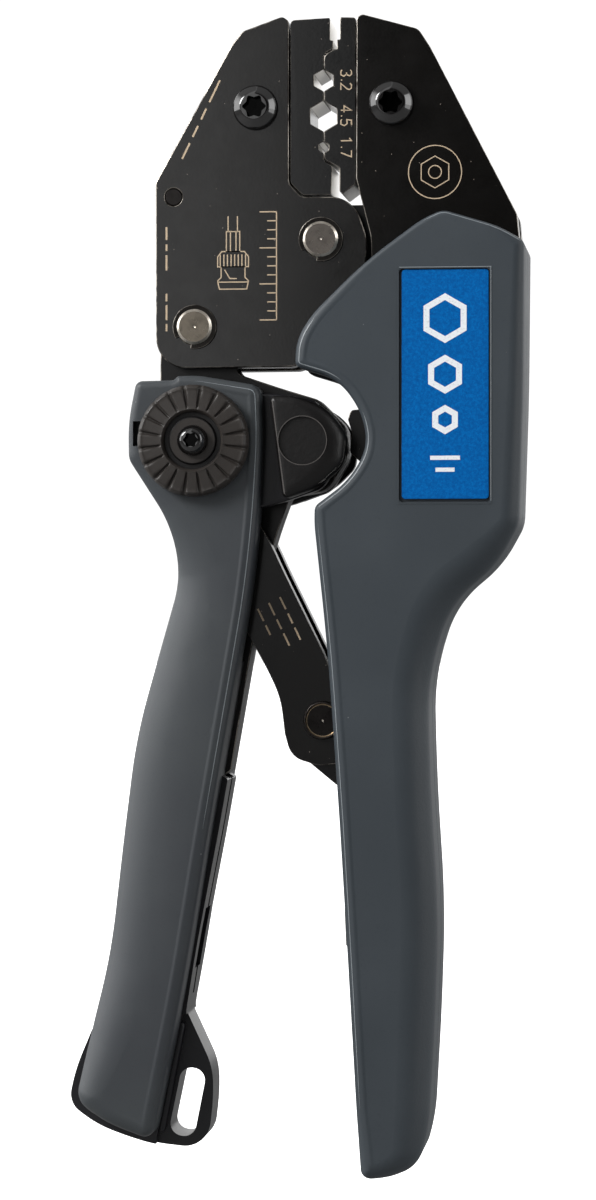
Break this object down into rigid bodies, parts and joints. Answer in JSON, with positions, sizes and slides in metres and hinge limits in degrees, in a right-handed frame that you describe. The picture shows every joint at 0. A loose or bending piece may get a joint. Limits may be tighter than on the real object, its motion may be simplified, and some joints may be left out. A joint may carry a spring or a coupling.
{
  "type": "ratcheting coaxial crimping tool",
  "caption": "Ratcheting hand crimping tool with hexagonal crimp dies, a toggle link, an adjusting wheel and two moulded grips.",
  "frame": {"origin": "centre of the large hexagonal crimp nest, at the middle of the tool's thickness, dies closed", "axes": "+Z from the grips towards the die head, +X from the moving handle towards the fixed grip, -Y is the front with the adjusting wheel"},
  "size_m": [0.078, 0.031, 0.197],
  "materials": {
    "black_steel": "satin black oxide",
    "core_steel": "black oxide with bright cut edges",
    "black_fasteners": "gloss black oxide",
    "pin_steel": "turned bright steel",
    "screw_steel": "bright steel",
    "spring_wire": "drawn spring wire",
    "fixed_grip_plastic": "fine-grained matt",
    "moving_grip_plastic": "fine-grained matt",
    "black_plastic": "satin",
    "control_plastic": "fine texture",
    "label": "printed film"
  },
  "bodies": {
    "frame": {"frame_plate_front": "black_steel", "frame_plate_back": "black_steel", "frame_core_front": "core_steel", "frame_core_back": "core_steel", "fixed_die": "black_steel", "die_screw_fixed": "black_fasteners", "main_pivot_pin": "pin_steel", "main_pivot_rings": "black_fasteners", "link_anchor_pin": "black_fasteners", "frame_rivets": "black_fasteners", "fixed_grip_front": "fixed_grip_plastic", "fixed_grip_back": "fixed_grip_plastic", "label_plate": "label"},
    "jaw": {"jaw_plate_front": "black_steel", "jaw_plate_back": "black_steel", "moving_die": "black_steel", "die_screw_moving": "black_fasteners", "handle_pin": "pin_steel", "handle_pin_rings": "black_fasteners", "spring_anchor_pin": "black_fasteners"},
    "link": {"link_plate_front": "black_steel", "link_plate_back": "black_steel"},
    "handle": {"handle_core_front": "core_steel", "handle_core_back": "core_steel", "moving_grip_front": "moving_grip_plastic", "moving_grip_back": "moving_grip_plastic", "handle_liner": "black_plastic", "ratchet_cover_front": "black_plastic", "ratchet_cover_back": "black_plastic", "return_spring": "spring_wire"},
    "adjuster": {"adjusting_wheel": "control_plastic", "adjuster_pin": "black_fasteners", "wheel_screw": "screw_steel"},
    "pawl": {"ratchet_pawl_front": "black_steel", "ratchet_pawl_back": "black_steel", "pawl_shaft": "black_fasteners", "release_cap_front": "control_plastic", "release_cap_back": "control_plastic"}
  },
  "joints": [
    {"name": "link_swing", "type": "hinge", "parent": "frame", "child": "link", "pos_m": [-0.0002, 0, -0.1027], "axis": [0, 1, 0], "range_deg": [-6.1, 0.05]},
    {"name": "handle_open", "type": "hinge", "parent": "link", "child": "handle", "pos_m": [-0.0213, 0, -0.0554], "axis": [0, 1, 0], "range_deg": [0, 28], "deforming": ["return_spring"]},
    {"name": "jaw_open", "type": "hinge", "parent": "frame", "child": "jaw", "pos_m": [-0.0004, 0, -0.021], "axis": [0, 1, 0], "range_deg": [-9.6, 0.05]},
    {"name": "ratchet_release", "type": "hinge", "parent": "handle", "child": "pawl", "pos_m": [-0.0029, 0, -0.0554], "axis": [0, 1, 0], "range_deg": [-3, 10], "stiffness_Nm_per_rad": 0.02},
    {"name": "force_adjuster", "type": "hinge", "parent": "handle", "child": "adjuster", "pos_m": [-0.0213, 0, -0.0554], "axis": [0, 1, 0], "range_deg": [-90, 90]}
  ],
  "couplings": [
    {"joint": "link_swing", "follows": "handle_open", "ratio": -0.215},
    {"joint": "jaw_open", "follows": "handle_open", "ratio": -0.34}
  ]
}
